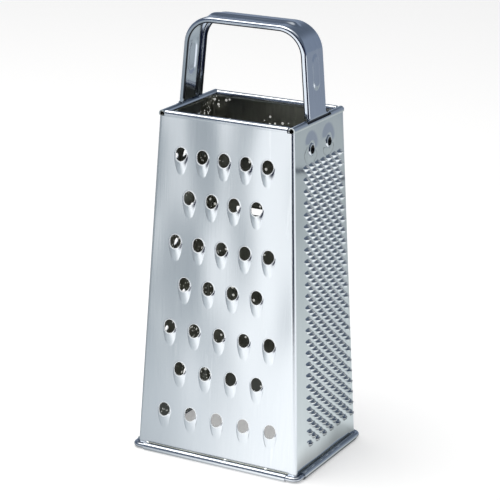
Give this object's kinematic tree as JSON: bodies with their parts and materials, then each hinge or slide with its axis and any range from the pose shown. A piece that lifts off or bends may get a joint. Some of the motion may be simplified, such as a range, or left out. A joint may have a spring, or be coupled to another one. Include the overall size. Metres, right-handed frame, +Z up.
{
  "type": "box grater",
  "caption": "Four-sided tapered box grater of sheet steel with shredding, burr and slicing walls, a wired rolled foot and a riveted strap handle.",
  "frame": {"origin": "centre of the foot's footprint, on the plane it rests on", "axes": "+Z up, -Y out of the coarse shredding wall, +X out of the fine wall"},
  "size_m": [0.0992, 0.076, 0.2271],
  "materials": {
    "wall_steel": "bright vertical brushing",
    "wire_steel": "drawn wire",
    "handle_steel": "satin",
    "rivet_steel": "bright"
  },
  "bodies": {
    "root": {"coarse_wall": "wall_steel", "fine_wall": "wall_steel", "slicing_wall": "wall_steel", "medium_wall": "wall_steel", "base_wire": "wire_steel", "handle": "handle_steel", "right_rivets": "rivet_steel", "left_rivets": "rivet_steel"}
  },
  "joints": []
}
